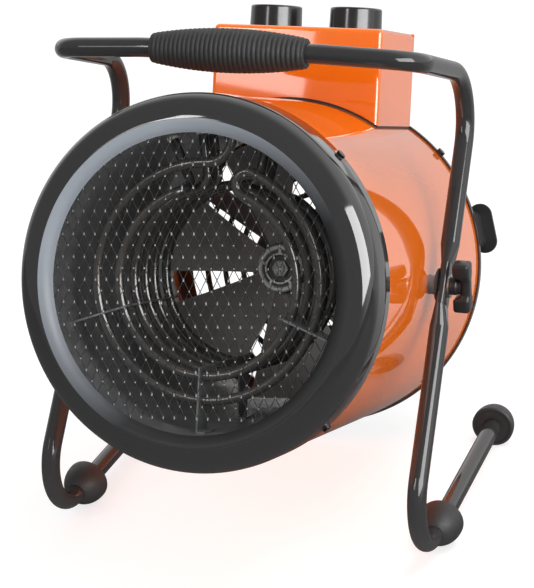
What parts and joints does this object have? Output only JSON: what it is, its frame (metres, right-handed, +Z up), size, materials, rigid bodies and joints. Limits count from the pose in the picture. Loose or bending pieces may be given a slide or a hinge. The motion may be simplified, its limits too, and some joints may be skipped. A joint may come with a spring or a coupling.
{
  "type": "forced air heater",
  "caption": "Horizontal drum fan heater with a domed front ring and diamond mesh, tilting in a one-piece bent tube stand that is also its handle, with a control box and two knobs on top.",
  "frame": {"origin": "on the floor, in the middle of the bounding box seen from above", "axes": "+Z up, +X to the heater's right seen from its front, +Y to its back; the mouth faces -Y"},
  "size_m": [0.3666, 0.439, 0.4424],
  "materials": {
    "orange_paint": "glossy orange powder coat",
    "black_paint": "glossy black powder coat",
    "black_rubber": "satin black rubber",
    "grip_foam": "matte ribbed black rubber",
    "black_plastic": "satin black nylon",
    "knob_plastic": "glossy black phenolic",
    "element_steel": "dark oxidised stainless tube",
    "galvanised_steel": "galvanised sheet",
    "bright_steel": "zinc plated",
    "black_screws": "blackened screws",
    "fan_aluminium": "dark coated aluminium",
    "motor_paint": "satin dark grey",
    "pale_plastic": "ceramic and moulded plastic",
    "washer_fibre": "fibre washer"
  },
  "bodies": {
    "stand": {"frame_tube": "black_paint", "handle_grip": "grip_foam", "front_foot_left": "black_rubber", "front_foot_right": "black_rubber", "rear_foot_left": "black_rubber", "rear_foot_right": "black_rubber", "friction_washer_left": "washer_fibre", "friction_washer_right": "washer_fibre"},
    "drum": {"drum_shell": "orange_paint", "front_ring": "black_paint", "rear_ring": "black_paint", "front_grille": "black_paint", "inner_duct": "galvanised_steel", "duct_carrier": "galvanised_steel", "element_front": "element_steel", "element_middle": "element_steel", "element_rear": "element_steel", "element_stay_left": "galvanised_steel", "element_stay_right": "galvanised_steel", "element_stay_bottom": "galvanised_steel", "terminal_insulators": "pale_plastic", "thermal_cutout": "pale_plastic", "motor_body": "motor_paint", "motor_bracket": "galvanised_steel", "motor_screws": "bright_steel", "rear_guard": "black_paint", "cord_hook_left": "black_plastic", "cord_hook_right": "black_plastic", "control_box": "orange_paint", "box_rear_plate": "orange_paint", "box_screws": "bright_steel", "box_gasket": "black_rubber", "box_base": "galvanised_steel", "grommet": "black_rubber", "selector_switch": "black_plastic", "thermostat": "pale_plastic", "terminal_block": "pale_plastic", "cable_gland": "black_plastic", "front_ring_screws": "black_screws", "rear_ring_screws": "black_screws", "pivot_boss_left": "galvanised_steel", "pivot_boss_right": "galvanised_steel"},
    "clamp_left": {"clamp_knob_left": "black_plastic", "clamp_stud_left": "bright_steel", "clamp_washer_left": "bright_steel"},
    "clamp_right": {"clamp_knob_right": "black_plastic", "clamp_stud_right": "bright_steel", "clamp_washer_right": "bright_steel"},
    "fan": {"impeller": "fan_aluminium", "motor_shaft": "bright_steel", "fan_nut": "bright_steel"},
    "selector": {"selector_knob": "knob_plastic", "selector_spindle": "bright_steel"},
    "thermostat_control": {"thermostat_knob": "knob_plastic", "thermostat_spindle": "bright_steel"}
  },
  "joints": [
    {"name": "drum_tilt", "type": "hinge", "parent": "stand", "child": "drum", "pos_m": [0, -0.01347, 0.216], "axis": [1, 0, 0], "range_deg": [-5, 25]},
    {"name": "fan_spin", "type": "hinge", "parent": "drum", "child": "fan", "pos_m": [0, 0.04343, 0.19696], "axis": [0, -0.9483, 0.3173], "continuous": true},
    {"name": "selector_turn", "type": "hinge", "parent": "drum", "child": "selector", "pos_m": [-0.0375, 0.15954, 0.38166], "axis": [0, 0.3173, 0.9483], "range_deg": [-135, 0]},
    {"name": "thermostat_turn", "type": "hinge", "parent": "drum", "child": "thermostat_control", "pos_m": [0.0375, 0.15954, 0.38166], "axis": [0, 0.3173, 0.9483], "range_deg": [-270, 0]},
    {"name": "clamp_left_turn", "type": "hinge", "parent": "drum", "child": "clamp_left", "pos_m": [-0.17, -0.01347, 0.216], "axis": [-1, 0, 0], "range_deg": [0, 360]},
    {"name": "clamp_right_turn", "type": "hinge", "parent": "drum", "child": "clamp_right", "pos_m": [0.17, -0.01347, 0.216], "axis": [1, 0, 0], "range_deg": [0, 360]}
  ]
}
